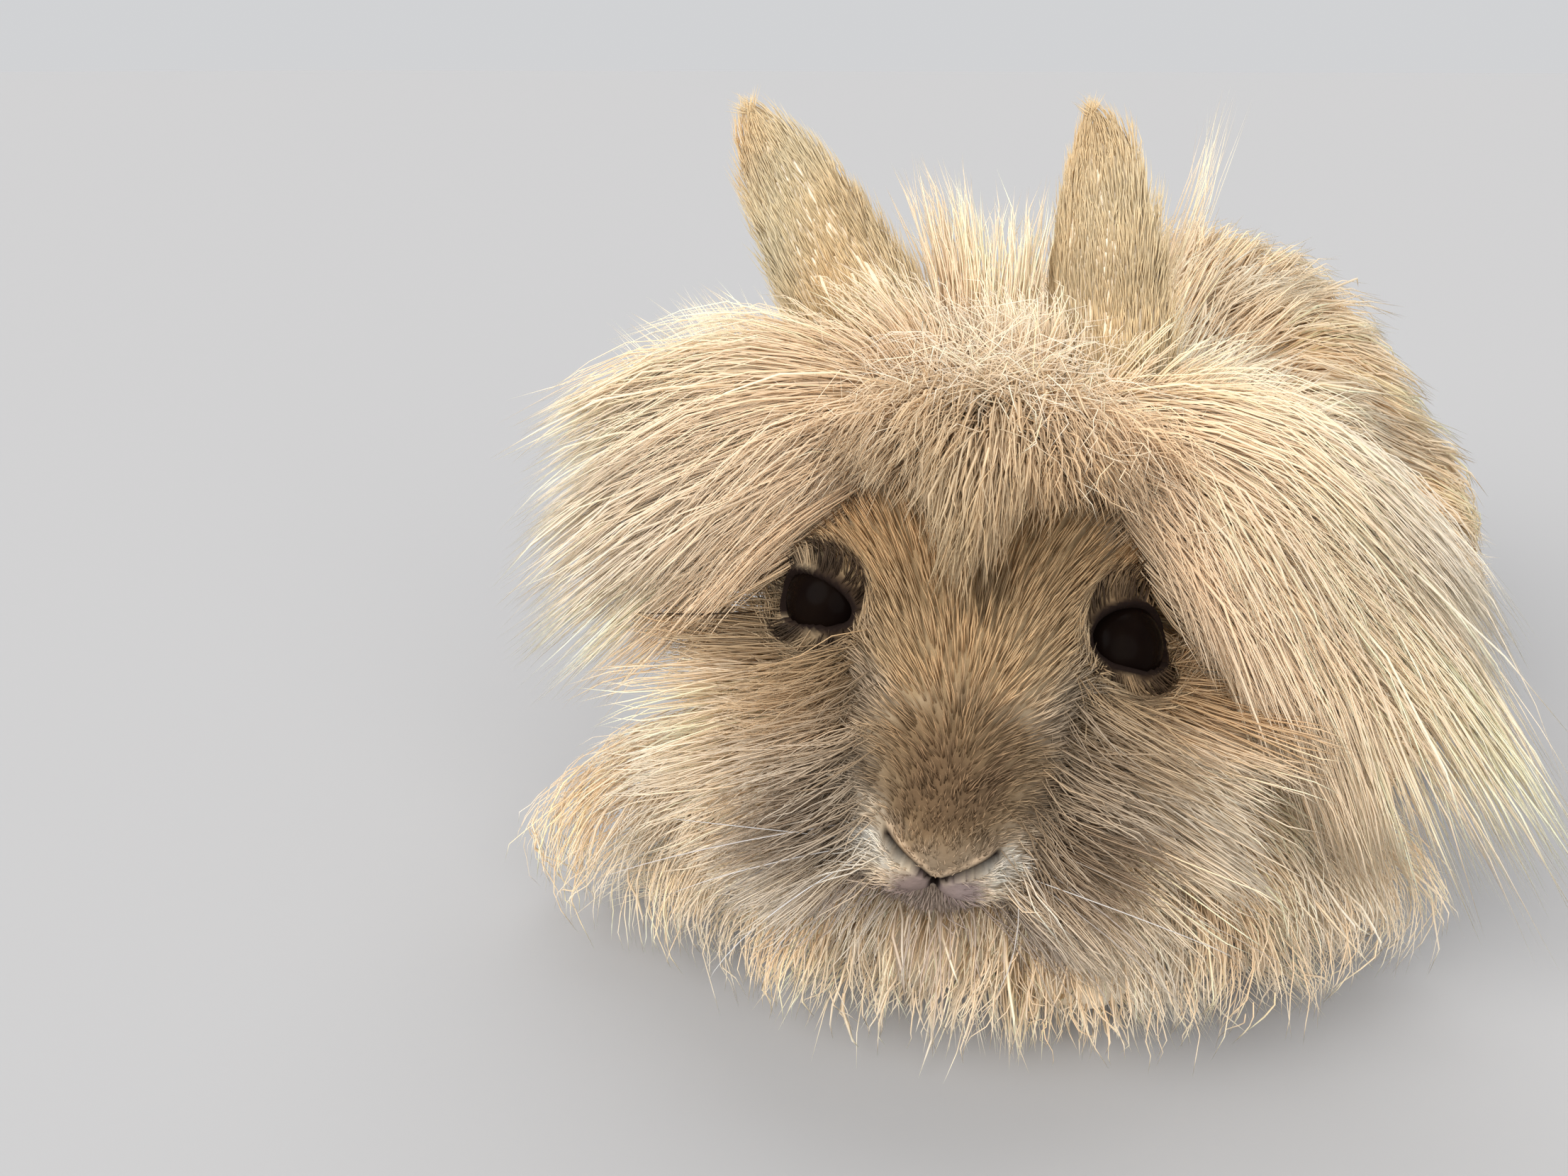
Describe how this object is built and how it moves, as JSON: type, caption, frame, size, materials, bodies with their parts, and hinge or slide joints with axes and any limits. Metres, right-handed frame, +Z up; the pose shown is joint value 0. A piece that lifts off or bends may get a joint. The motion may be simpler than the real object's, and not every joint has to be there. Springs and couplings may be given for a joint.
{
  "type": "lionhead rabbit model",
  "caption": "Still, life-size model of a lionhead rabbit resting on its belly, head turned a little to its left, ears up, with a mane, forelock, ruff and long coat.",
  "frame": {"origin": "on the floor under the middle of the trunk, on the flat of the belly", "axes": "+Z up, -Y the way the body faces, +X the rabbit's left"},
  "size_m": [0.2189, 0.3088, 0.1674],
  "materials": {
    "face_coat": "short golden brown fur, grey-brown on the nose, with cream cheeks",
    "ear_coat": "soft tan fur with pale rims",
    "mane": "long, loose pale tan hair with cream ends",
    "body_coat": "dense, long cream to tan coat in soft pointed locks",
    "eye": "wet, glossy near-black brown"
  },
  "bodies": {
    "root": {"head": "face_coat", "eye_left": "eye", "eye_right": "eye", "ear_left": "ear_coat", "ear_right": "ear_coat", "neck": "mane", "chest": "body_coat", "torso": "body_coat", "tail": "body_coat", "foreleg_left": "body_coat", "foreleg_right": "body_coat", "hindleg_left": "body_coat", "hindleg_right": "body_coat"}
  },
  "joints": []
}
